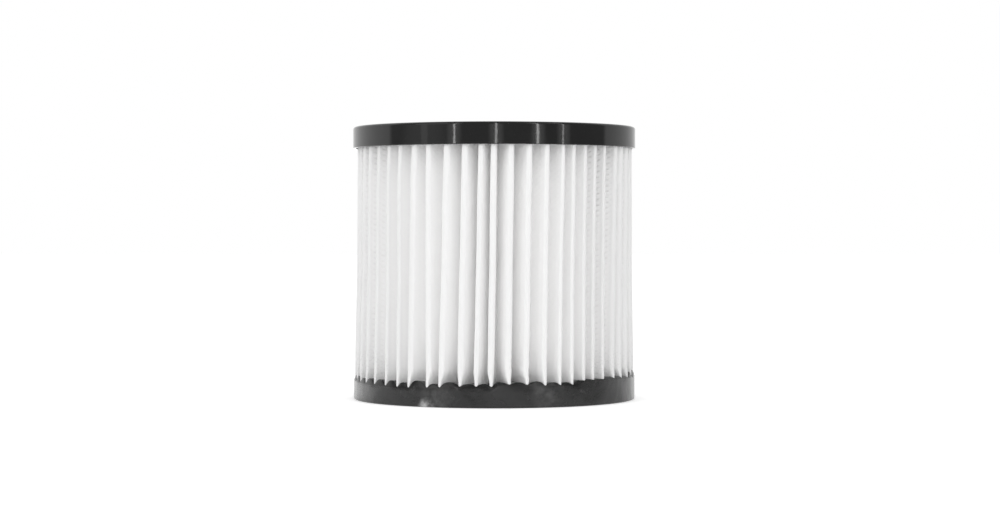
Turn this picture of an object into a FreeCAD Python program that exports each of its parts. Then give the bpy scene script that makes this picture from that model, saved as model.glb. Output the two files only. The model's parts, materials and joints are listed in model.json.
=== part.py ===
# A pleated cartridge filter for a vacuum cleaner. One folded sheet, closed into a loop, stands round a
# slotted support cage. Its lower end is potted in a moulded cap that closes the filter. Its upper end is
# glued into a rigid ring, and a rubber collar in the ring's mouth seals on the cleaner's spigot.
# Sizes are in millimetres. +Z is up, and the origin is the centre of the face that the filter stands on.

import FreeCAD
import Part

import math
import os

# Whole filter
filter_height = 120.0

# Rubber sealing collar
bore_diameter = 72.0
collar_wall = 3.0
collar_flange_width = 5.0
collar_flange_thickness = 1.2
collar_lead_in = 0.8
collar_overlap = 2.5

# Rigid end ring
ring_diameter = 125.0
ring_height = 9.5
ring_wall = 1.2
ring_plate = 2.6
ring_edge_radius = 1.6
spigot_wall = 1.8
spigot_depth = 9.0

# Support cage
cage_clearance = 0.1
cage_wall = 2.0
cage_columns = 16
cage_rows = 2
cage_rib_width = 5.5
cage_hoop_height = 4.0
cage_end_margin = 2.0

# Folded filter sheet
pleat_count = 54
pleat_crest_width = 3.0
sheet_thickness = 0.6
sheet_clearance = 0.2

# Moulded end cap, whose potting rises steeply from the pleat tips and then gently towards the cage
cap_floor = 5.0
cap_wall = 1.1
cap_edge_bevel = 0.8
potting_depth = 3.6
potting_inner_depth = 1.5
potting_shoulder_run = 2.8
potting_shoulder_rise = 1.9
potting_crest_rise = 0.9

# Radii, worked out from the mouth outwards and from the ring's outside inwards
bore_radius = bore_diameter / 2
spigot_inner_radius = bore_radius + collar_wall
spigot_outer_radius = spigot_inner_radius + spigot_wall
flange_radius = spigot_inner_radius + collar_flange_width
cage_inner_radius = spigot_outer_radius + cage_clearance
cage_outer_radius = cage_inner_radius + cage_wall
sheet_inner_radius = cage_outer_radius + sheet_clearance
ring_radius = ring_diameter / 2
skirt_inner_radius = ring_radius - ring_wall
sheet_outer_radius = skirt_inner_radius - sheet_clearance
cap_radius = sheet_outer_radius + cap_wall
potting_radius = sheet_outer_radius - sheet_thickness
shoulder_radius = potting_radius - potting_shoulder_run

# Levels, worked out from the top downwards and from the standing face upwards
flange_seat = filter_height - collar_flange_thickness
ring_roof = filter_height - ring_plate
ring_foot = filter_height - ring_height
spigot_foot = ring_roof - spigot_depth
collar_foot = spigot_foot - collar_overlap
cap_rim = cap_floor + potting_depth
potting_shoulder = cap_rim + potting_shoulder_rise
potting_crest = potting_shoulder + potting_crest_rise
inner_floor = cap_floor + potting_inner_depth

UP = FreeCAD.Vector(0, 0, 1)
ORIGIN = FreeCAD.Vector(0, 0, 0)


def turned(profile):
    """The solid that a closed profile of (radius, height) corners makes when turned about the axis."""
    corners = [FreeCAD.Vector(radius, 0, height) for radius, height in profile]
    outline = Part.makePolygon(corners + corners[:1])
    return Part.Face(outline).revolve(ORIGIN, UP, 360)


def on_plan(radius, angle):
    """A point of the plan, at an angle about the filter's axis."""
    return FreeCAD.Vector(radius * math.cos(angle), radius * math.sin(angle), 0)


def make_end_ring():
    """Skirt, top plate and inner spigot in one moulding, with a rebate for the collar's flange."""
    # Two flats stand for the rounded outer edge, and their common corner lies on the round
    edge_middle = ring_edge_radius * (1 - math.sqrt(0.5))
    return turned([
        (ring_radius, ring_foot),
        (ring_radius, filter_height - ring_edge_radius),
        (ring_radius - edge_middle, filter_height - edge_middle),
        (ring_radius - ring_edge_radius, filter_height),
        (flange_radius, filter_height),
        (flange_radius, flange_seat),
        (spigot_inner_radius, flange_seat),
        (spigot_inner_radius, spigot_foot),
        (spigot_outer_radius, spigot_foot),
        (spigot_outer_radius, ring_roof),
        (skirt_inner_radius, ring_roof),
        (skirt_inner_radius, ring_foot),
    ])


def make_sealing_collar():
    """A rubber sleeve through the ring's spigot, with a flange that lies in the ring's rebate."""
    return turned([
        (bore_radius, collar_foot),
        (bore_radius, filter_height - collar_lead_in),
        (bore_radius + collar_lead_in, filter_height),
        (flange_radius, filter_height),
        (flange_radius, flange_seat),
        (spigot_inner_radius, flange_seat),
        (spigot_inner_radius, collar_foot),
    ])


def half_pleat_sides():
    """Crest corner and valley of half a pleat, for the sheet's outer side and then its inner side."""
    half_pitch = math.pi / pleat_count
    half_crest = pleat_crest_width / 2
    crest_plane = math.sqrt(sheet_outer_radius ** 2 - half_crest ** 2)
    outer_corner = FreeCAD.Vector(crest_plane, half_crest, 0)
    inner_valley = on_plan(sheet_inner_radius, half_pitch)
    # The flank's outer side leaves the crest's corner and passes the inner valley at one sheet thickness
    reach = inner_valley - outer_corner
    heading = math.atan2(reach.y, reach.x) - math.asin(sheet_thickness / reach.Length)
    flank = on_plan(1, heading)
    valley_ray = on_plan(1, half_pitch)
    to_valley = outer_corner.cross(valley_ray).z / valley_ray.cross(flank).z
    outer_valley = outer_corner + flank * to_valley
    to_crest = (crest_plane - sheet_thickness - inner_valley.x) / flank.x
    inner_corner = inner_valley + flank * to_crest
    return (outer_corner, outer_valley), (inner_corner, inner_valley)


def closed_line(points):
    return Part.makePolygon(points + points[:1])


def round_the_axis(points):
    """The points of one pleat, repeated for every pleat all round the axis."""
    repeated = []
    for number in range(pleat_count):
        turn = FreeCAD.Rotation(UP, 360 * number / pleat_count)
        repeated += [turn.multVec(point) for point in points]
    return repeated


def folded_line(corner, valley):
    """One side of the folded sheet on the plan: a flat crest and a valley for each pleat."""
    other_corner = FreeCAD.Vector(corner.x, -corner.y, 0)
    return closed_line(round_the_axis([other_corner, corner, valley]))


def upright(lines_on_plan, low, high):
    """An upright solid between two levels, whose plan is a closed line less any closed line inside it."""
    plan = Part.makeFace(lines_on_plan, "Part::FaceMakerBullseye")
    plan.translate(UP * low)
    return plan.extrude(UP * (high - low))


def make_pleated_media():
    """The folded sheet, from its potted lower end to the ring's roof."""
    sides = [folded_line(*side) for side in half_pleat_sides()]
    return upright(sides, cap_floor, ring_roof)


def make_support_cage():
    """A tube with rows of tall slots, potted below and held on the ring's spigot above."""
    tube = turned([
        (cage_inner_radius, cap_floor),
        (cage_inner_radius, ring_roof),
        (cage_outer_radius, ring_roof),
        (cage_outer_radius, cap_floor),
    ])
    lowest = potting_crest + cage_end_margin
    highest = min(ring_foot, collar_foot) - cage_end_margin
    row_pitch = (highest - lowest + cage_hoop_height) / cage_rows
    slot_width = 2 * math.pi * cage_outer_radius / cage_columns - cage_rib_width
    slot_height = row_pitch - cage_hoop_height
    slots = []
    for row in range(cage_rows):
        corner = FreeCAD.Vector(0, -slot_width / 2, lowest + row * row_pitch)
        slot = Part.makeBox(2 * cage_outer_radius, slot_width, slot_height, corner)
        for column in range(cage_columns):
            slots.append(slot.rotated(ORIGIN, UP, 360 * column / cage_columns))
    return tube.cut(slots)


def make_potting():
    """The poured material above the cap's rim, with two flat facets for each gap between two pleats."""
    levels = [
        (potting_radius, cap_rim),
        (shoulder_radius, potting_shoulder),
        (cage_outer_radius, potting_crest),
    ]
    outlines = [round_the_axis([FreeCAD.Vector(radius, 0, level)]) for radius, level in levels]
    facets = [Part.Face(closed_line(outline)) for outline in (outlines[0], outlines[-1])]
    for low, high in zip(outlines, outlines[1:]):
        for number in range(pleat_count):
            corners = [low[number - 1], low[number], high[number], high[number - 1]]
            facets.append(Part.Face(closed_line(corners)))
    return Part.Solid(Part.Shell(facets))


def make_end_cap(media, cage):
    """A closed cap, poured round the ends of the sheet and the cage, that rises between the pleats."""
    dish = turned([
        (0, 0),
        (cap_radius - cap_edge_bevel, 0),
        (cap_radius, cap_edge_bevel),
        (cap_radius, cap_rim),
        (0, cap_rim),
    ])
    sheet_sides = half_pleat_sides()
    clean_side = upright([folded_line(*sheet_sides[1])], inner_floor, potting_crest)
    return dish.fuse(make_potting()).cut([clean_side, media, cage])


def main():
    os.makedirs("parts", exist_ok=True)
    media = make_pleated_media()
    cage = make_support_cage()
    pieces = {
        "end_ring": make_end_ring(),
        "sealing_collar": make_sealing_collar(),
        "pleated_media": media,
        "support_cage": cage,
        "end_cap": make_end_cap(media, cage),
    }
    for name, shape in pieces.items():
        shape.exportStep(f"parts/{name}.step")
        print(name, "solids", len(shape.Solids), "faces", len(shape.Faces), "volume", round(shape.Volume, 1))


main()
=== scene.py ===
import json
import math
import random

import bmesh
import bpy
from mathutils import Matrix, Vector, noise


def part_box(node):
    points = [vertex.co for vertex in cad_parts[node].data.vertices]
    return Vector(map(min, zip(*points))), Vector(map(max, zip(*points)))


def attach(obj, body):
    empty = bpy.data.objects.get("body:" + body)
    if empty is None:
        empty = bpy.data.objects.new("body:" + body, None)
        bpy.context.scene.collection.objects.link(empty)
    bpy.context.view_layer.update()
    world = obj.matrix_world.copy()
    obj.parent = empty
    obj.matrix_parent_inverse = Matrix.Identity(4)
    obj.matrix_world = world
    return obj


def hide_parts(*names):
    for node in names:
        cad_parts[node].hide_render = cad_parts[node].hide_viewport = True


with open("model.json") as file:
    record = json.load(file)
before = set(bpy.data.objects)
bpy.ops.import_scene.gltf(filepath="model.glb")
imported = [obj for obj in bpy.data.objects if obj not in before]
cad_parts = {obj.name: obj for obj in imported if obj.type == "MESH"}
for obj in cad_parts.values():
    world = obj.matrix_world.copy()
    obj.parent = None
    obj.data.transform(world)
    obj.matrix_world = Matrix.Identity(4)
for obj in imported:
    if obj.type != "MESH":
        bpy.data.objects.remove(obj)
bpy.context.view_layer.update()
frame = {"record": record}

random.seed(54)
millimetre = 0.001
near = 0.00002  # corners closer than this are the same corner
ringLow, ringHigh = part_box("end_ring")
collarLow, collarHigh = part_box("sealing_collar")
sheetLow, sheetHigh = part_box("pleated_media")
cageLow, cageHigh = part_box("support_cage")
capLow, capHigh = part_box("end_cap")
mouthRadius = frame["record"]["mounts"][0]["dims"]["r_mm"] * millimetre
print("frame loaded, mouth radius", mouthRadius)


class Socket:  # one output in a shader tree, and sums on it add Math nodes
    def __init__(self, tree, link=None):
        self.tree = tree
        self.link = link

    def add(self, kind, settings=None, values=None, output=0):
        made = self.tree.nodes.new(kind)
        for name, value in (settings or {}).items():
            setattr(made, name, value)
        for name, value in (values or {}).items():
            if isinstance(value, Socket):
                self.tree.links.new(value.link, made.inputs[name])
            else:
                made.inputs[name].default_value = value
        return Socket(self.tree, made.outputs[output] if made.outputs else None)

    def math(self, operation, *values):
        return self.add("ShaderNodeMath", {"operation": operation}, dict(enumerate(values)))

    def __add__(self, other):
        return self.math("ADD", self, other)

    def __radd__(self, other):
        return self.math("ADD", other, self)

    def __sub__(self, other):
        return self.math("SUBTRACT", self, other)

    def __rsub__(self, other):
        return self.math("SUBTRACT", other, self)

    def __mul__(self, other):
        return self.math("MULTIPLY", self, other)

    def __rmul__(self, other):
        return self.math("MULTIPLY", other, self)

    def ramp(self, low, high):  # 0 below low, 1 above high, smooth between
        settings = {"interpolation_type": "SMOOTHSTEP"}
        values = {"Value": self, "From Min": low, "From Max": high}
        return self.add("ShaderNodeMapRange", settings, values)

    def blend(self, first, second):  # this value mixes two colours
        return self.add("ShaderNodeMix", {"data_type": "RGBA"}, {0: self, 6: first, 7: second}, 2)

    def grain(self, place, size, detail=2.0, roughness=0.5):  # noise with features of about this size
        values = {"Vector": place, "Scale": 1 / size, "Detail": detail, "Roughness": roughness}
        return self.add("ShaderNodeTexNoise", {}, values)

    def other(self, name):  # another output of the same node
        return Socket(self.tree, self.link.node.outputs[name])

    def feed(self, shader, name):
        self.tree.links.new(self.link, shader.inputs[name])


def grey(level, tint=0.0):
    return (level * (1 + tint), level, level * (1 - tint), 1)


def newFinish(name, fixed):
    finish = bpy.data.materials.new(name)
    finish.use_nodes = True
    shader = finish.node_tree.nodes["Principled BSDF"]
    for socketName, value in fixed.items():
        shader.inputs[socketName].default_value = value
    return finish, Socket(finish.node_tree), shader


def bumpOf(height, strength, distance):
    values = {"Strength": strength, "Distance": distance, "Height": height}
    return height.add("ShaderNodeBump", {}, values)


def smooth(value, low, high):  # the same ramp for numbers
    share = min(1, max(0, (value - low) / (high - low)))
    return share * share * (3 - 2 * share)


def polar(radius, degrees):  # measured from the camera's side towards +X
    turn = math.radians(degrees)
    return Vector((radius * math.sin(turn), -radius * math.cos(turn)))


def clearSelection():
    bpy.ops.object.select_all(action="DESELECT")


def editAll(piece):
    clearSelection()
    piece.select_set(True)
    bpy.context.view_layer.objects.active = piece
    bpy.ops.object.mode_set(mode="EDIT")
    bpy.ops.mesh.select_all(action="SELECT")


def selectEdges(piece, test):
    bpy.ops.mesh.select_mode(type="EDGE")
    bpy.ops.mesh.select_all(action="DESELECT")
    shape = bmesh.from_edit_mesh(piece.data)
    for edge in shape.edges:
        if test(edge.verts[0].co, edge.verts[1].co):
            edge.select_set(True)
    bmesh.update_edit_mesh(piece.data)


def turnSection(name, section, steps):
    # a circle is drawn out from corner to corner of the section, each corner a radius and a height
    clearSelection()
    radius, height = section[0]
    bpy.ops.mesh.primitive_circle_add(vertices=steps, radius=radius, location=(0, 0, height))
    piece = bpy.context.object
    piece.name = name
    bpy.ops.object.transform_apply(location=True, rotation=False, scale=False)
    editAll(piece)
    for nextRadius, nextHeight in section[1:]:
        rise = {"value": (0, 0, nextHeight - height)}
        bpy.ops.mesh.extrude_edges_move(TRANSFORM_OT_translate=rise)
        spread = nextRadius / radius
        bpy.ops.transform.resize(value=(spread, spread, 1), center_override=(0, 0, nextHeight))
        radius, height = nextRadius, nextHeight
    bpy.ops.mesh.select_all(action="DESELECT")
    bpy.ops.mesh.select_non_manifold()  # the open ends, to bridge or fill
    return piece


def roundCorner(piece, radius, height, rounding, segments):
    def atCorner(point):
        return abs(math.hypot(point.x, point.y) - radius) < near and abs(point.z - height) < near

    selectEdges(piece, lambda first, second: atCorner(first) and atCorner(second))
    bpy.ops.mesh.bevel(offset=rounding, segments=segments, affect="EDGES")


def applyModifier(piece, kind, settings):
    modifier = piece.modifiers.new(kind.title(), kind)
    for name, value in settings.items():
        setattr(modifier, name, value)
    bpy.context.view_layer.objects.active = piece
    bpy.ops.object.modifier_apply(modifier=modifier.name)


def finishShape(piece, sharpAngle):
    bpy.ops.mesh.select_all(action="SELECT")
    bpy.ops.mesh.normals_make_consistent(inside=False)
    bpy.ops.object.mode_set(mode="OBJECT")
    bpy.ops.object.shade_smooth_by_angle(angle=math.radians(sharpAngle))
    applyModifier(piece, "WEIGHTED_NORMAL", {"keep_sharp": True})


def handOver(piece, node, finish):
    piece.data.materials.clear()
    piece.data.materials.append(finish)
    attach(piece, "root")
    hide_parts(node)
    print(piece.name, len(piece.data.polygons), "faces")


collarLook = {
    "steps": 192,
    "leadIn": 0.0008,
    "flange": 0.0012,            # thickness in the ring's rebate
    "sleeve": 0.003,             # thickness in the ring's spigot
    "rounding": 0.0003,
    "roundSteps": 3,
    "sharpAngle": 40,
    "colour": grey(0.022),
    "bloomColour": grey(0.05),
    "bloomSize": 0.009,          # pale bloom on the rubber
    "bloomEdge": (0.45, 0.8),
    "roughness": 0.55,
    "bloomRoughness": 0.2,
    "speckSize": 0.0004,
    "speckStrength": 0.25,
    "speckDepth": 0.00008,
}


def dullRubber():
    look = collarLook
    finish, tree, shader = newFinish("dullRubber", {"IOR": 1.45})
    place = tree.add("ShaderNodeTexCoord", output="Object")
    bloom = tree.grain(place, look["bloomSize"], detail=5, roughness=0.6).ramp(*look["bloomEdge"])
    speck = tree.grain(place, look["speckSize"])
    bloom.blend(look["colour"], look["bloomColour"]).feed(shader, "Base Color")
    (look["roughness"] + look["bloomRoughness"] * bloom).feed(shader, "Roughness")
    bumpOf(speck, look["speckStrength"], look["speckDepth"]).feed(shader, "Normal")
    return finish


def makeCollar():
    look = collarLook
    top, foot, reach = collarHigh.z, collarLow.z, collarHigh.x
    lip = mouthRadius + look["leadIn"]
    outside = mouthRadius + look["sleeve"]
    flangeFoot = top - look["flange"]
    section = [
        (lip, foot), (mouthRadius, foot + look["leadIn"]),
        (mouthRadius, top - look["leadIn"]), (lip, top),
        (reach, top), (reach, flangeFoot), (outside, flangeFoot), (outside, foot),
    ]
    collar = turnSection("collarSleeve", section, look["steps"])
    bpy.ops.mesh.bridge_edge_loops()
    for radius, height in section[1:5] + section[7:]:
        roundCorner(collar, radius, height, look["rounding"], look["roundSteps"])
    finishShape(collar, look["sharpAngle"])
    handOver(collar, "sealing_collar", dullRubber())


ringLook = {
    "steps": 288,
    "height": 0.0095,            # of the skirt round the pleats
    "wall": 0.0012,
    "plate": 0.0026,             # flat top
    "spigotWall": 0.0018,
    "topRounding": 0.0011,
    "topSteps": 8,
    "footRounding": 0.0003,
    "footSteps": 4,
    "innerRounding": 0.0003,
    "innerSteps": 3,
    "sharpAngle": 40,
    "colour": grey(0.011),
    "dustColour": grey(0.022),
    "dustSize": 0.0006,
    "dustEdge": (0.66, 0.78),
    "dustTone": 0.6,
    "smudgeSize": 0.02,
    "smudgeEdge": (0.45, 0.75),
    "smudgeTone": 0.3,
    "roughness": 0.06,
    "markRoughness": 0.03,       # what smudges and dust each add
    "satinRoughness": 0.30,      # of the flat top
    "satinDepth": 0.00012,
    "rippleSize": 0.004,         # slight waves of the moulding
    "peelSize": 0.0009,
    "peelRelief": 0.25,
    "rippleStrength": 0.12,
    "rippleDepth": 0.0001,
}


def polishedBlack():
    look = ringLook
    finish, tree, shader = newFinish("polishedBlack", {"IOR": 1.49})
    place = tree.add("ShaderNodeTexCoord", output="Object")
    smudge = tree.grain(place, look["smudgeSize"], detail=4, roughness=0.6).ramp(*look["smudgeEdge"])
    dust = tree.grain(place, look["dustSize"]).ramp(*look["dustEdge"])
    marks = look["dustTone"] * dust + look["smudgeTone"] * smudge
    marks.blend(look["colour"], look["dustColour"]).feed(shader, "Base Color")
    height = tree.add("ShaderNodeSeparateXYZ", {}, {"Vector": place}, "Z")
    satin = height.ramp(ringHigh.z - look["satinDepth"], ringHigh.z)
    rougher = look["satinRoughness"] - look["roughness"]
    marked = look["markRoughness"] * smudge + look["markRoughness"] * dust
    roughness = look["roughness"] + rougher * satin + marked
    roughness.feed(shader, "Roughness")
    ripple = tree.grain(place, look["rippleSize"], detail=1)
    peel = tree.grain(place, look["peelSize"], detail=1)
    relief = ripple + look["peelRelief"] * peel
    bumpOf(relief, look["rippleStrength"], look["rippleDepth"]).feed(shader, "Normal")
    return finish


def makeRing():
    look = ringLook
    outer, top, spigotFoot = ringHigh.x, ringHigh.z, ringLow.z
    collarReach = collarHigh.x
    seat = top - collarLook["flange"]
    skirtFoot = top - look["height"]
    skirtInside = outer - look["wall"]
    roof = top - look["plate"]
    spigotInside = mouthRadius + collarLook["sleeve"]
    spigotOutside = spigotInside + look["spigotWall"]
    section = [
        (spigotInside, spigotFoot), (spigotInside, seat), (collarReach, seat), (collarReach, top),
        (outer, top), (outer, skirtFoot), (skirtInside, skirtFoot), (skirtInside, roof),
        (spigotOutside, roof), (spigotOutside, spigotFoot),
    ]
    ring = turnSection("ringShell", section, look["steps"])
    bpy.ops.mesh.bridge_edge_loops()
    roundCorner(ring, outer, top, look["topRounding"], look["topSteps"])
    roundCorner(ring, outer, skirtFoot, look["footRounding"], look["footSteps"])
    roundCorner(ring, skirtInside, skirtFoot, look["innerRounding"], look["innerSteps"])
    roundCorner(ring, collarReach, top, look["innerRounding"], look["innerSteps"])
    finishShape(ring, look["sharpAngle"])
    handOver(ring, "end_ring", polishedBlack())


cageLook = {
    "columns": 16,
    "barSteps": 4,               # corners across an upright bar
    "slotSteps": 8,              # corners across a slot
    "wall": 0.002,
    "slotFoot": 0.0134,
    "slotHead": 0.1039,
    "hoop": 0.004,               # band between the two rows of slots
    "cornerRounding": 0.0016,    # of the slots
    "cornerSteps": 4,
    "edgeRounding": 0.00025,
    "edgeSteps": 2,
    "edgeAngle": 50,             # edges that turn by more than this are rounded
    "sharpAngle": 40,
    "colour": grey(0.026),
    "paleColour": grey(0.042),
    "cloudSize": 0.015,
    "cloudEdge": (0.4, 0.75),
    "roughness": 0.45,
    "cloudRoughness": 0.15,
    "grainSize": 0.0005,
    "grainStrength": 0.2,
    "grainDepth": 0.00006,
}


def dullBlackMoulding():
    look = cageLook
    finish, tree, shader = newFinish("dullBlackMoulding", {"IOR": 1.47})
    place = tree.add("ShaderNodeTexCoord", output="Object")
    cloud = tree.grain(place, look["cloudSize"], detail=3).ramp(*look["cloudEdge"])
    cloud.blend(look["colour"], look["paleColour"]).feed(shader, "Base Color")
    (look["roughness"] + look["cloudRoughness"] * cloud).feed(shader, "Roughness")
    grain = tree.grain(place, look["grainSize"])
    bumpOf(grain, look["grainStrength"], look["grainDepth"]).feed(shader, "Normal")
    return finish


def makeCage():
    look = cageLook
    middle = (look["slotFoot"] + look["slotHead"]) / 2
    halfHoop = look["hoop"] / 2
    slotEnds = [look["slotFoot"], middle - halfHoop, middle + halfHoop, look["slotHead"]]
    levels = [cageLow.z, *slotEnds, cageHigh.z]
    columnSteps = look["barSteps"] + look["slotSteps"]
    steps = look["columns"] * columnSteps
    cage = turnSection("cageTube", [(cageHigh.x, level) for level in levels], steps)
    bpy.ops.mesh.select_mode(type="FACE")
    bpy.ops.mesh.select_all(action="DESELECT")
    shape = bmesh.from_edit_mesh(cage.data)
    for face in shape.faces:
        centre = face.calc_center_median()
        turn = (math.atan2(centre.y, centre.x) / math.tau) % 1
        inSlot = int(turn * steps + look["slotSteps"] / 2) % columnSteps < look["slotSteps"]
        lower = slotEnds[0] < centre.z < slotEnds[1]
        upper = slotEnds[2] < centre.z < slotEnds[3]
        face.select_set(inSlot and (lower or upper))
    bmesh.update_edit_mesh(cage.data)
    bpy.ops.mesh.delete(type="FACE")
    bpy.ops.mesh.select_all(action="SELECT")
    bpy.ops.mesh.normals_make_consistent(inside=False)
    bpy.ops.object.mode_set(mode="OBJECT")
    applyModifier(cage, "SOLIDIFY", {"thickness": look["wall"], "offset": -1})
    editAll(cage)
    edgesOfSlots = (look["slotSteps"] // 2, columnSteps - look["slotSteps"] // 2)

    def slotCorner(first, second):
        level = abs(first.z - second.z) < near and min(abs(first.z - end) for end in slotEnds) < near
        across = abs(math.hypot(first.x, first.y) - math.hypot(second.x, second.y)) > look["wall"] / 2
        turn = (math.atan2(first.y, first.x) / math.tau) % 1
        return level and across and round(turn * steps) % columnSteps in edgesOfSlots

    selectEdges(cage, slotCorner)
    bpy.ops.mesh.bevel(offset=look["cornerRounding"], segments=look["cornerSteps"], affect="EDGES")
    bpy.ops.object.mode_set(mode="OBJECT")
    applyModifier(cage, "BEVEL", {
        "width": look["edgeRounding"],
        "segments": look["edgeSteps"],
        "limit_method": "ANGLE",
        "angle_limit": math.radians(look["edgeAngle"]),
    })
    editAll(cage)
    finishShape(cage, look["sharpAngle"])
    handOver(cage, "support_cage", dullBlackMoulding())


# tips of the front pleats from left to right, read off the photograph,
# in degrees from the camera's side, low down by the cap and high up by the ring
footTips = [-64.4, -56.7, -48.8, -42.0, -36.1, -27.4, -21.9, -13.6, -7.1, -1.1,
            5.9, 13.0, 20.4, 27.0, 32.6, 38.3, 43.3, 49.0, 56.6, 63.1, 70.2]
headTips = [-64.3, -56.5, -49.2, -42.6, -35.4, -28.3, -19.8, -11.8, -5.0, 0.4,
            7.5, 14.8, 22.2, 29.1, 34.4, 40.2, 45.7, 51.5, 60.8, 66.8, 73.5]

# half widths of the same tips in metres
frontHalfWidths = [0.0014, 0.0011, 0.0010, 0.0010, 0.0015, 0.0013, 0.0015, 0.0014, 0.0011, 0.0013,
                   0.0014, 0.0013, 0.0012, 0.0009, 0.0009, 0.0009, 0.0009, 0.0009, 0.0016, 0.0021, 0.0021]

# front tips with torn fibres by the cap, and how far they stray in metres
frayedTips = {10: 0.0003, 11: 0.0005, 12: 0.0002}

# folds that lie well off the middle of the gap after a front tip, in degrees
foldShifts = {6: -1.2, 8: 2.0, 9: -1.2, 11: -1.0, 12: 0.8}

sheetLook = {
    "pleats": 54,
    "thickness": 0.0006,
    "hiddenHalfWidths": (0.0013, 0.0016),  # of the tips that the camera doesn't see
    "hiddenDrift": 0.7,          # degrees that they stand off an even spread
    "hiddenLean": (1.2, 2.4),    # degrees that they lean
    "outset": (-0.0002, 0.0001),
    "foldDrift": 0.6,            # degrees that a fold lies off the middle of its gap
    "foldHalfWidth": 0.0008,
    "cageGap": 0.0002,           # between the folds and the cage
    "tipSquareness": 3.2,        # 2 is a round tip, and more is a flatter one with crisper corners
    "pinchHalfWidth": 0.0007,    # where the cast cap grips a tip
    "pinchFoot": 0.0095,
    "pinchTop": 0.0158,          # height above which a tip has its full width
    "spreadShare": 0.8,          # how one-sided a tip widens
    "spreadMiddle": -12,         # towards this place, in degrees
    "spreadReach": 12,           # and fully this far beside it
    "tipSteps": 10,
    "flankSteps": 3,
    "foldSteps": 4,
    "fineFoot": 0.0082,          # short rows from here up, where tips narrow and fray
    "fineTop": 0.027,
    "fineRows": 24,
    "coarseRows": 19,
    "wander": 0.00022,           # how far a tip strays from a straight line
    "wanderNoise": (3.7, 45, 0.5),    # step from tip to tip, waves in a metre, and seed
    "frayNoise": (5.1, 800, 2.5),
    "frayTop": 0.027,
    "flare": 0.0006,             # tips stand further out towards the cap
    "flareTop": 0.065,           # from this height down
    "lean": 0.0003,              # and draw in towards the ring, most on the left and not on the right
    "headBend": 0.95,            # degrees that the tips on the left bend forward under the ring
    "bendFoot": 0.090,
    "bentSide": (20, 35),        # degrees to the left where the bend begins, and where it's full
    "seam": 0.000005,            # reach that joins the two ends of the sheet
    "sharpAngle": 50,
    "embossPitch": 0.0024,
    "embossSlope": 0.5,          # rise of the embossed ribs along the flat sheet
    "crossRibs": 0.5,            # the ribs that cross them are weaker
    "ribEdge": (0.1, 1.4),
    "rightSide": (-0.004, 0.004),     # the two kinds change places at the front
    "embossAndShadeSides": (0.039, 0.046),  # the embossing, the shade painted in its hollows and the specks are full at the sides and fade at front and back
    "embossAndShadeShift": 0.003,             # and reaches nearer to the front on the right
    "embossAndShadeKept": 0.15,               # share of them that is left at front and back
    # how dark the embossed hollows are painted, as shade, and how deep their bump is
    "evenDepth": 0.2,
    "unevenDepth": 0.25,
    "unevenSize": 0.012,
    "unevenEdge": (0.35, 0.65),
    "underRingDepth": 0.5,
    "underRingHeights": (0.092, 0.110),  # the embossing and the shade painted in its hollows are deeper from here up, under the ring
    "underRingRight": 0.020,             # and from lower down on the right
    "tipRadii": (0.0585, 0.0605),  # on the tips the embossing is left out, and shade is painted over them
    "tipShadeTone": 0.15,
    "tipShadeSides": (0.030, 0.042),      # with more painted shade on the tips towards both sides
    "sideTipShadeTone": 0.4,
    "tornHeights": (0.012, 0.028),    # torn fibres show as specks low down
    "speckSize": 0.0008,
    "speckEdge": (0.52, 0.66),
    "speckTone": 1.1,
    "cloudSize": 0.006,
    "cloudTone": 0.15,
    "colour": grey(0.988, 0.001),
    # the darker colour that painted shade in hollows and on tips, the clouds and the specks blend towards
    "shadeAndMarkColour": grey(0.86, 0.001),
    "roughness": 0.9,
    "fibreSize": 0.00035,
    "fibreRoughness": 0.08,
    "fibreRelief": 0.2,
    "reliefStrength": 0.9,
    "reliefDepth": 0.00025,
}

hiddenTips = sheetLook["pleats"] - len(footTips)


def tipsAllRound():
    # the pleats that the camera doesn't see are spread evenly, each a little off its place
    drift = sheetLook["hiddenDrift"]
    gap = footTips[0] + 360 - footTips[-1]
    tips = list(zip(footTips, headTips))
    for number in range(1, hiddenTips + 1):
        even = footTips[-1] + gap * number / (hiddenTips + 1)
        low = even + random.uniform(-drift, drift)
        tips.append((low, low + random.uniform(*sheetLook["hiddenLean"])))
    return tips


def foldsOffMiddle():
    drift = sheetLook["foldDrift"]
    return [foldShifts.get(gap, random.uniform(-drift, drift)) for gap in range(sheetLook["pleats"])]


pleatTips = tipsAllRound()
tipOutset = [random.uniform(*sheetLook["outset"]) for tip in pleatTips]
hiddenWidths = [random.uniform(*sheetLook["hiddenHalfWidths"]) for tip in range(hiddenTips)]
tipWidths = frontHalfWidths + hiddenWidths
foldDrift = foldsOffMiddle()


def stray(number, height, settings):
    stride, waves, seed = settings
    return noise.noise(Vector((number * stride, height * waves, seed)))


def flankNormal(tip, tipRound, fold, foldRound, side):
    # the flank runs on the inner tangent of the two rounds
    along = fold - tip
    across = Vector((-along.y, along.x)).normalized()
    outward = Vector((-tip.y, tip.x))
    if across.dot(outward) * side < 0:
        across = -across
    share = (tipRound + foldRound) / along.length
    return along.normalized() * share + across * math.sqrt(1 - share * share)


def arcBetween(centre, size, start, end, through, steps, squareness=2.0):
    base = math.atan2(through.y, through.x)

    def offset(direction):
        return (math.atan2(direction.y, direction.x) - base + math.pi) % math.tau - math.pi

    first, last = offset(start), offset(end)
    points = []
    for step in range(steps + 1):
        turn = first + (last - first) * step / steps
        full = abs(math.cos(turn)) ** squareness + abs(math.sin(turn)) ** squareness
        reach = size * full ** (-1 / squareness)
        points.append(centre + Vector((math.cos(base + turn), math.sin(base + turn))) * reach)
    return points


def lineInside(start, end, steps):
    return [start.lerp(end, step / steps) for step in range(1, steps)]


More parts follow.
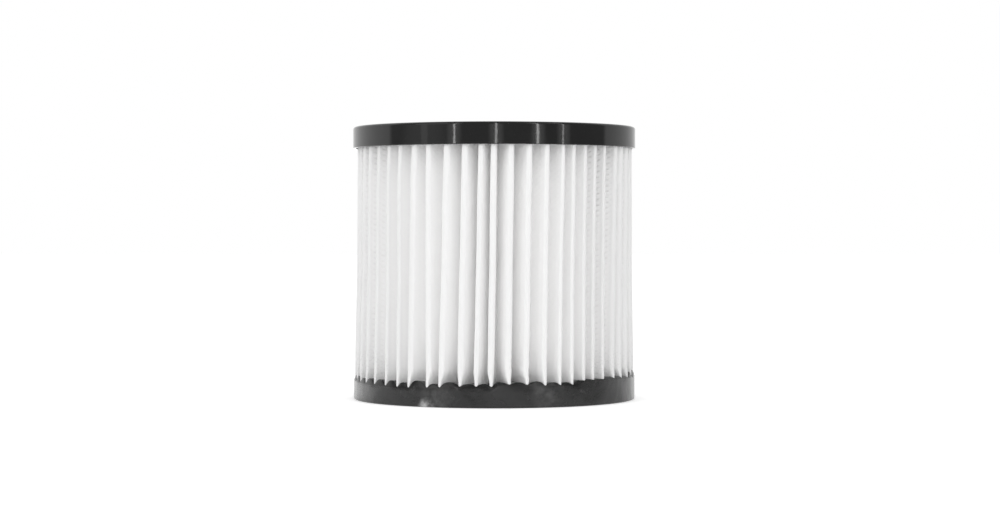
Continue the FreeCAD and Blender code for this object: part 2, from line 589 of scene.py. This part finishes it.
def tipsAt(height):
    look = sheetLook
    half = look["thickness"] / 2
    rise = (height - capHigh.z) / (sheetHigh.z - capHigh.z)
    pinch = smooth(height, look["pinchFoot"], look["pinchTop"])
    flare = look["flare"] * (1 - smooth(height, look["pinchFoot"], look["flareTop"]))
    lean = look["lean"] * smooth(rise, 0, 1)
    bend = look["headBend"] * smooth(height, look["bendFoot"], sheetHigh.z)
    frayed = 1 - smooth(height, look["pinchTop"], look["frayTop"])
    angles, tips, rounds = [], [], []
    for number, (low, high) in enumerate(pleatTips):
        drift = look["wander"] * stray(number, height, look["wanderNoise"])
        drift += frayedTips.get(number, 0) * frayed * stray(number, height, look["frayNoise"])
        spread = (tipWidths[number] - look["pinchHalfWidth"]) * pinch
        size = look["pinchHalfWidth"] + spread - half
        beside = (low - look["spreadMiddle"]) / look["spreadReach"]
        drift -= look["spreadShare"] * spread * min(1, max(-1, beside))
        angle = low + (high - low) * rise + math.degrees(drift / sheetHigh.x)
        angle += bend * smooth(-low, *look["bentSide"])
        outward = flare - lean * (1 - math.sin(math.radians(angle)))
        angles.append(angle)
        rounds.append(size)
        tips.append(polar(sheetHigh.x - half + tipOutset[number] + outward - size, angle))
    return angles, tips, rounds


def foldsBetween(angles, radius):
    count = len(angles)
    folds = []
    for number in range(count):
        after = angles[(number + 1) % count] + (360 if number == count - 1 else 0)
        folds.append(polar(radius, (angles[number] + after) / 2 + foldDrift[number]))
    return folds


def sheetSection(height):
    look = sheetLook
    count = look["pleats"]
    half = look["thickness"] / 2
    foldRound = look["foldHalfWidth"] - half
    angles, tips, rounds = tipsAt(height)
    folds = foldsBetween(angles, cageHigh.x + look["cageGap"] + half + foldRound)
    points = []
    for number in range(count):
        tip, fold, before = tips[number], folds[number], folds[number - 1]
        nextTip, nextRound = tips[(number + 1) % count], rounds[(number + 1) % count]
        into = flankNormal(tip, rounds[number], before, foldRound, -1)
        out = flankNormal(tip, rounds[number], fold, foldRound, 1)
        away = flankNormal(nextTip, nextRound, fold, foldRound, -1)
        crest = arcBetween(tip, rounds[number], into, out, tip, look["tipSteps"], look["tipSquareness"])
        valley = arcBetween(fold, foldRound, -out, -away, -fold, look["foldSteps"])
        nextCrest = nextTip + away * nextRound
        points += crest + lineInside(crest[-1], valley[0], look["flankSteps"])
        points += valley + lineInside(valley[-1], nextCrest, look["flankSteps"])
    return points + points[:1]


def embossedFleece():
    look = sheetLook
    finish, tree, shader = newFinish("embossedFleece", {"Specular IOR Level": 0.2})
    flat = tree.add("ShaderNodeUVMap", {"uv_map": "flatSheet"})
    along = tree.add("ShaderNodeSeparateXYZ", {}, {"Vector": flat})
    up = along.other("Y")
    turns = math.tau / look["embossPitch"]
    sloped = look["embossSlope"] * along
    leftRibs = tree.math("COSINE", (sloped + up) * turns)
    rightRibs = tree.math("COSINE", (sloped - up) * turns)
    place = tree.add("ShaderNodeTexCoord", output="Object")
    across = tree.add("ShaderNodeSeparateXYZ", {}, {"Vector": place})
    back = across.other("Y")
    radius = tree.math("SQRT", across * across + back * back)
    onRight = across.ramp(*look["rightSide"])
    onLeft = 1 - onRight
    cross = look["crossRibs"]
    ribs = onLeft * (leftRibs + cross * rightRibs) + onRight * (rightRibs + cross * leftRibs)
    sideTipShade = tree.math("ABSOLUTE", across).ramp(*look["tipShadeSides"])
    embossAndShadeAtSides = tree.math("ABSOLUTE", across + look["embossAndShadeShift"]).ramp(*look["embossAndShadeSides"])
    embossAndShadeShare = look["embossAndShadeKept"] + (1 - look["embossAndShadeKept"]) * embossAndShadeAtSides
    onTips = radius.ramp(*look["tipRadii"])
    # painted shade in the embossed hollows, which also gives their bump, left off the tips
    hollow = ribs.ramp(*look["ribEdge"]) * (1 - onTips) * embossAndShadeShare
    uneven = tree.grain(place, look["unevenSize"], detail=3).ramp(*look["unevenEdge"])
    underRing = (up + look["underRingRight"] * onRight).ramp(*look["underRingHeights"])
    depth = look["evenDepth"] + look["unevenDepth"] * uneven + look["underRingDepth"] * underRing
    fibre = tree.grain(place, look["fibreSize"], detail=3, roughness=0.7)
    cloud = tree.grain(place, look["cloudSize"], detail=3)
    torn = 1 - up.ramp(*look["tornHeights"])
    speck = tree.grain(place, look["speckSize"]).ramp(*look["speckEdge"]) * torn
    # the colour is darkened by painted shade in the hollows and on the tips, and by clouds and specks
    tone = hollow * depth + look["cloudTone"] * (cloud - 0.5)
    # painted shade on the tips, more towards both sides
    tone = tone + onTips * (look["tipShadeTone"] + look["sideTipShadeTone"] * sideTipShade)
    tone = tone + look["speckTone"] * speck * embossAndShadeAtSides
    tone.blend(look["colour"], look["shadeAndMarkColour"]).feed(shader, "Base Color")
    (look["roughness"] + look["fibreRoughness"] * (fibre - 0.5)).feed(shader, "Roughness")
    relief = look["fibreRelief"] * fibre - hollow * depth
    bumpOf(relief, look["reliefStrength"], look["reliefDepth"]).feed(shader, "Normal")
    return finish


def sheetHeights():
    look = sheetLook
    fine = (look["fineTop"] - look["fineFoot"]) / look["fineRows"]
    coarse = (sheetHigh.z - look["fineTop"]) / look["coarseRows"]
    heights = [sheetLow.z]
    heights += [look["fineFoot"] + fine * row for row in range(look["fineRows"])]
    heights += [look["fineTop"] + coarse * row for row in range(look["coarseRows"] + 1)]
    return heights


def lengthAlong(points):
    length = [0.0]
    for start, end in zip(points, points[1:]):
        length.append(length[-1] + (end - start).length)
    return length


def makeSheet():
    look = sheetLook
    columns = look["pleats"] * (look["tipSteps"] + look["foldSteps"] + 2 * look["flankSteps"])
    heights = sheetHeights()
    rows = len(heights) - 1
    sections = [sheetSection(height) for height in heights]
    length = lengthAlong(sheetSection((sheetLow.z + sheetHigh.z) / 2))
    clearSelection()
    bpy.ops.mesh.primitive_grid_add(x_subdivisions=columns, y_subdivisions=rows, size=1, calc_uvs=True)
    sheet = bpy.context.object
    sheet.name = "foldedSheet"
    mesh = sheet.data
    spots = []  # column and row of each corner of the grid
    for vertex in mesh.vertices:
        spots.append((round((vertex.co.x + 0.5) * columns), round((vertex.co.y + 0.5) * rows)))
    flat = mesh.uv_layers.active
    flat.name = "flatSheet"
    for loop in mesh.loops:
        column, row = spots[loop.vertex_index]
        flat.data[loop.index].uv = (length[column], heights[row])
    for vertex, (column, row) in zip(mesh.vertices, spots):
        point = sections[row][column]
        vertex.co = (point.x, point.y, heights[row])
    editAll(sheet)
    bpy.ops.mesh.remove_doubles(threshold=look["seam"])
    bpy.ops.mesh.normals_make_consistent(inside=False)
    bpy.ops.object.mode_set(mode="OBJECT")
    applyModifier(sheet, "SOLIDIFY", {"thickness": look["thickness"], "offset": 0})
    bpy.ops.object.shade_smooth_by_angle(angle=math.radians(look["sharpAngle"]))
    handOver(sheet, "pleated_media", embossedFleece())
    print("sheet laid flat", length[-1])


# how high the cast cap stands at its edge, as degrees from the camera's side and metres
rimHeights = [(-180, 0.0086), (-90, 0.0086), (-50, 0.0082), (-37, 0.0079), (-22, 0.0084), (-14, 0.0090),
              (-1, 0.0089), (6, 0.0099), (13, 0.0098), (20, 0.0093), (34, 0.0093), (38, 0.0108),
              (45, 0.0110), (57, 0.0110), (66, 0.0106), (78, 0.0102), (88, 0.0106), (100, 0.0090),
              (115, 0.0086), (180, 0.0086)]

# tops of the cast domes between the front tips, in metres, read off the photograph
frontDomes = [0.0106, 0.0106, 0.0106, 0.0100, 0.0111, 0.0098, 0.0108, 0.0101, 0.0102, 0.0108,
              0.0108, 0.0110, 0.0106, 0.0104, 0.0111, 0.0114, 0.0113, 0.0119, 0.0117, 0.0113]

# painted reflections on the cap's side, as pale patches: degrees from the camera's side, height, reach and
# strength
capPaintedReflections = [(-27.4, 0.0000, 0.0048, 2.2), (-24.0, 0.0030, 0.0110, 0.17), (21.0, 0.0045, 0.0095, 0.14),
             (-70.0, 0.0045, 0.0160, 0.20)]

capLook = {
    "steps": 1080,
    "floor": 0.0065,             # cast surface inside the cage
    "floorRadii": (0.012, 0.030),
    "crownRadii": [0.0432, 0.0465, 0.0500, 0.0535, 0.0565, 0.0590,
                   0.0604, 0.0611, 0.0614, 0.0616, 0.0618, 0.0620],
    "sideHeights": (0.006, 0.0035),
    "footRounding": 0.0006,
    "footSteps": 5,
    "rimRounding": 0.0004,
    "sharpAngle": 45,
    "domeRise": 0.0022,          # of the domes that the camera doesn't see, above the edge
    "domeSpread": 0.0003,
    "domeStart": 0.06215,        # radius where a dome begins, and where it's full
    "domeFull": 0.0614,
    "domeRoundness": 2.2,
    "domeFall": 0.5,             # share that it loses on this run towards the cage
    "domeFallRun": 0.012,
    "lumpRise": 0.00018,
    "lumpWaves": 180,
    "lumpSeed": 4.0,
    "colour": grey(0.008),
    "paleColour": grey(0.019),
    # pale colour of the random smears and of the painted reflections
    "smearAndReflectionColour": grey(0.48),
    "cloudSize": 0.028,
    "cloudEdge": (0.42, 0.66),
    "streakSize": 0.005,
    "streakEdge": (0.6, 0.8),
    "streakTone": 0.09,
    "reflectionEdge": (0.2, 0.75),
    "roughness": 0.17,
    "cloudRoughness": 0.08,
    "patchRoughness": 0.2,
    "dentSize": 0.012,
    "dentStrength": 0.5,
    "dentDepth": 0.0009,
    "poreSize": 0.0008,
    "poreRelief": 0.08,
}


def rimHeight(degrees):
    for (start, low), (end, high) in zip(rimHeights, rimHeights[1:]):
        if start <= degrees <= end:
            return low + (high - low) * smooth(degrees, start, end)


domeRises = [random.gauss(capLook["domeRise"], capLook["domeSpread"]) for tip in pleatTips]


def domeTop(gap, rim):
    return frontDomes[gap] if gap < len(frontDomes) else rim + domeRises[gap]


def gapAt(degrees):  # number of the gap between two tips, and the share of it that is passed
    offsets = [(degrees - tip[0]) % 360 for tip in pleatTips]
    passed = min(offsets)
    gap = offsets.index(passed)
    nextTip = pleatTips[(gap + 1) % len(pleatTips)][0]
    return gap, passed / ((nextTip - pleatTips[gap][0]) % 360)


def castHeight(degrees, radius):
    look = capLook
    gap, share = gapAt(degrees)
    arch = 1 - abs(2 * share - 1) ** look["domeRoundness"]
    outward = smooth(look["domeStart"] - radius, 0, look["domeStart"] - look["domeFull"])
    inward = 1 - look["domeFall"] * smooth(look["domeFull"] - radius, 0, look["domeFallRun"])
    rim = rimHeight(degrees)
    point = polar(radius, degrees) * look["lumpWaves"]
    lump = look["lumpRise"] * noise.noise(Vector((point.x, point.y, look["lumpSeed"])))
    return rim + (domeTop(gap, rim) - rim) * arch * outward * inward + lump * outward


def castPolyurethane():
    look = capLook
    finish, tree, shader = newFinish("castPolyurethane", {"IOR": 1.47})
    place = tree.add("ShaderNodeTexCoord", output="Object")
    cloud = tree.grain(place, look["cloudSize"], detail=3, roughness=0.55).ramp(*look["cloudEdge"])
    streak = tree.grain(place, look["streakSize"], detail=4, roughness=0.65)
    pore = tree.grain(place, look["poreSize"])
    dents = tree.grain(place, look["dentSize"])
    smearAndReflection = look["streakTone"] * streak.ramp(*look["streakEdge"])
    # pale patches painted on as reflections, over the random smears
    for degrees, height, reach, strength in capPaintedReflections:
        spot = polar(capHigh.x, degrees)
        values = {0: place, 1: (spot.x, spot.y, height)}
        away = tree.add("ShaderNodeVectorMath", {"operation": "DISTANCE"}, values, "Value")
        smearAndReflection = smearAndReflection + strength * (1 - away.ramp(0.0, reach)) * streak.ramp(*look["reflectionEdge"])
    tone = cloud.blend(look["colour"], look["paleColour"])
    smearAndReflectionShare = tree.math("MINIMUM", smearAndReflection, 1.0)
    smearAndReflectionShare.blend(tone, look["smearAndReflectionColour"]).feed(shader, "Base Color")
    roughness = look["roughness"] + look["cloudRoughness"] * cloud + look["patchRoughness"] * smearAndReflection
    roughness.feed(shader, "Roughness")
    relief = dents + look["poreRelief"] * pore
    bumpOf(relief, look["dentStrength"], look["dentDepth"]).feed(shader, "Normal")
    return finish


def makeCap():
    look = capLook
    outer, foot, rim = capHigh.x, capLow.z, rimHeights[0][1]
    crown = look["crownRadii"]
    sideTop = rim - look["rimRounding"]
    cageMiddle = cageHigh.x - cageLook["wall"] / 2  # the cast surface changes height inside the cage's wall
    section = [(radius, look["floor"]) for radius in (*look["floorRadii"], cageMiddle)]
    section += [(radius, rim) for radius in (cageMiddle, *crown)]
    section += [(outer, height) for height in (sideTop, *look["sideHeights"], foot)]
    section.append((look["floorRadii"][0], foot))
    cap = turnSection("capBody", section, look["steps"])
    bpy.ops.mesh.fill_holes(sides=0)
    roundCorner(cap, outer, foot, look["footRounding"], look["footSteps"])
    bpy.ops.object.mode_set(mode="OBJECT")
    for vertex in cap.data.vertices:
        radius = math.hypot(vertex.co.x, vertex.co.y)
        degrees = math.degrees(math.atan2(vertex.co.x, -vertex.co.y))
        if vertex.co.z > rim - near and radius > crown[0] - near:
            vertex.co.z = castHeight(degrees, radius)
        elif abs(vertex.co.z - sideTop) < near:
            vertex.co.z += rimHeight(degrees) - rim
    editAll(cap)
    finishShape(cap, look["sharpAngle"])
    handOver(cap, "end_cap", castPolyurethane())


makeRing()
makeCollar()
makeCap()
makeCage()
makeSheet()
print("pieces made")

stripLook = {
    "distance": 1.3,
    "length": 1.6,
    "middle": 0.82,
    # degrees from the camera, width and brightness
    "lamps": [(-31.2, 0.030, 7.0), (1.5, 0.034, 5.6), (34.2, 0.038, 7.5), (55.6, 0.022, 6.0)],
}
boxLook = {
    "lamps": [((-1.4, -1.1, 0.9), 0.8), ((1.0, -1.1, 1.3), 0.4)],  # place, brightness
    "size": (1.0, 1.0),
    "target": (0, 0, 0.06),
}
fillLook = {
    "distance": 1.6,
    "height": 0.2,
    "size": (0.6, 0.36),
    "lamps": [(-38, 2.7), (-14, 0.5), (14, 0.75), (38, 2.6)],  # degrees from the camera, brightness
}
stageLook = {
    "floorSize": 12.0,
    "floorGap": 0.0001,          # keeps the floor and the cap's underside from sharing a plane
    "floorColour": grey(0.92),
    "floorLift": 0.50,           # how much the floor is brightened for the eye
    "leftGlow": 0.5,             # more of it behind on the left, as the cap mirrors it
    "rightShade": 0.4,           # and less in front on the right
    "floorSides": (0.05, 0.10),  # distance to the side where these begin, and where they're full
    "floorBehind": (-0.03, 0.02),     # the same from front to back
    "frontLevel": 0.30,          # the dark side of the studio, behind the camera
    "backLevel": 1.0,
    "backTurn": 0.072,           # the white backdrop stands a little askew
    "backEdge": (0.065, 0.16),
    "rightDrop": 0.22,           # the right side of the studio is dimmer
    "glowReach": 6.5,            # soft glow round each strip lamp, in degrees
    "glowTurn": 1.035,           # a little further round from the camera than the lamp
    "glowCore": 0.8,
    "glowLevel": 0.6,
    "glowRise": 0.04,
    "cards": [(-57.8, 24, 4, 0.28), (-57.8, 2.6, 0.4, 0.40)],  # degrees, outer and inner reach, level
    "zenithLevel": 0.60,         # soft light from above
    "horizonLevel": 1.16,        # and from low down all round
    "horizonBand": (0.35, 1.0),
    "bounces": 16,               # white light goes to and fro between the pleats
}


def makeFloor():
    look = stageLook
    clearSelection()
    bpy.ops.mesh.primitive_plane_add(size=look["floorSize"], location=(0, 0, -look["floorGap"]))
    floor = bpy.context.object
    floor.name = "studioFloor"
    paper = bpy.data.materials.new("floorPaper")
    paper.use_nodes = True
    paper.node_tree.nodes.clear()
    tree = Socket(paper.node_tree)
    path = tree.add("ShaderNodeLightPath", output="Is Camera Ray")
    glossy = path.other("Is Glossy Ray")
    seen = path.math("MAXIMUM", path, path.other("Is Transmission Ray"))
    place = tree.add("ShaderNodeTexCoord", output="Object")
    side = tree.add("ShaderNodeSeparateXYZ", {}, {"Vector": place})
    behind = side.other("Y").ramp(*look["floorBehind"])
    onLeft = (0 - side).ramp(*look["floorSides"])
    onRight = side.ramp(*look["floorSides"])
    mirrored = look["floorLift"] + look["leftGlow"] * onLeft * behind
    mirrored = mirrored - look["rightShade"] * onRight * (1 - behind)
    card = tree.add("ShaderNodeBsdfDiffuse", {}, {"Color": look["floorColour"]})
    brightness = seen * look["floorLift"] + glossy * mirrored
    lift = tree.add("ShaderNodeEmission", {}, {"Strength": brightness})
    both = tree.add("ShaderNodeAddShader", {}, {0: card, 1: lift})
    below = tree.add("ShaderNodeNewGeometry", output="Backfacing")  # seen from below, the floor is clear
    clear = tree.add("ShaderNodeBsdfTransparent")
    shown = tree.add("ShaderNodeMixShader", {}, {0: below, 1: both, 2: clear})
    tree.add("ShaderNodeOutputMaterial", {}, {"Surface": shown})
    floor.data.materials.append(paper)


def makeWorld():
    look = stageLook
    world = bpy.data.worlds.new("studioWorld")
    bpy.context.scene.world = world
    world.use_nodes = True
    world.node_tree.nodes.clear()
    tree = Socket(world.node_tree)
    path = tree.add("ShaderNodeLightPath", output="Is Camera Ray")
    seen = path.math("MAXIMUM", path, path.other("Is Transmission Ray"))
    glossy = path.other("Is Glossy Ray")
    way = tree.add("ShaderNodeTexCoord", output="Generated")
    side = tree.add("ShaderNodeSeparateXYZ", {}, {"Vector": way})
    behind = (side.other("Y") - look["backTurn"] * side).ramp(*look["backEdge"])
    mirrored = look["frontLevel"] + (look["backLevel"] - look["frontLevel"]) * behind
    mirrored = mirrored * (1 - look["rightDrop"] * side.ramp(0.0, 1.0))
    glow = (look["glowReach"], look["glowCore"], look["glowLevel"])
    glows = [(lamp[0] * look["glowTurn"], *glow) for lamp in stripLook["lamps"]]
    for degrees, outer, inner, level in look["cards"] + glows:
        aim = polar(1, degrees)
        values = {0: way, 1: (aim.x, aim.y, look["glowRise"])}
        facing = tree.add("ShaderNodeVectorMath", {"operation": "DOT_PRODUCT"}, values, "Value")
        edge = (math.cos(math.radians(outer)), math.cos(math.radians(inner)))
        mirrored = mirrored + level * facing.ramp(*edge)
    low = (1 - tree.math("ABSOLUTE", side.other("Z"))).ramp(*look["horizonBand"])
    soft = look["zenithLevel"] + (look["horizonLevel"] - look["zenithLevel"]) * low
    room = glossy * mirrored + (1 - glossy) * soft
    strength = seen + (1 - seen) * room
    sky = tree.add("ShaderNodeBackground", {}, {"Color": grey(1.0), "Strength": strength})
    tree.add("ShaderNodeOutputWorld", {}, {"Surface": sky})


def addLamp(name, place, target, size, brightness, mirrored=True, spread=True):
    # brightness is what the lamp's face shows, so its power follows from its size
    bpy.ops.object.light_add(type="AREA", location=place)
    lamp = bpy.context.object
    lamp.name = name
    lamp.data.shape = "RECTANGLE"
    lamp.data.size, lamp.data.size_y = size
    lamp.data.energy = brightness * math.pi * size[0] * size[1]
    aim = Vector(target) - Vector(place)
    lamp.rotation_euler = aim.to_track_quat("-Z", "Y").to_euler()
    lamp.visible_camera = False
    lamp.visible_glossy = mirrored
    lamp.visible_diffuse = spread


def makeLamps():
    height = stripLook["middle"]
    for number, (degrees, width, brightness) in enumerate(stripLook["lamps"]):
        spot = polar(stripLook["distance"], degrees)
        place = (spot.x, spot.y, height)
        size = (width, stripLook["length"])
        addLamp(f"strip{number}", place, (0, 0, height), size, brightness, spread=False)
    for number, (place, brightness) in enumerate(boxLook["lamps"]):
        addLamp(f"softbox{number}", place, boxLook["target"], boxLook["size"], brightness)
    for number, (degrees, brightness) in enumerate(fillLook["lamps"]):
        spot = polar(fillLook["distance"], degrees)
        place = (spot.x, spot.y, fillLook["height"])
        addLamp(f"fill{number}", place, boxLook["target"], fillLook["size"], brightness, mirrored=False)


cameraLook = {
    "distance": 1.05,
    "eye": 0.0745,               # height of the lens
    "lens": 85.17,
    "shiftX": 0.0058,
    "shiftY": -0.0324,
}


def makeCamera():
    look = cameraLook
    place = (0, -look["distance"], look["eye"])
    bpy.ops.object.camera_add(location=place, rotation=(math.pi / 2, 0, 0))
    camera = bpy.context.object
    camera.data.lens = look["lens"]
    camera.data.shift_x = look["shiftX"]
    camera.data.shift_y = look["shiftY"]
    bpy.context.scene.camera = camera


makeFloor()
makeWorld()
makeLamps()
makeCamera()
bpy.context.scene.view_settings.view_transform = "Standard"
bpy.context.scene.cycles.max_bounces = stageLook["bounces"]
bpy.context.scene.cycles.diffuse_bounces = stageLook["bounces"]
print("studio set")
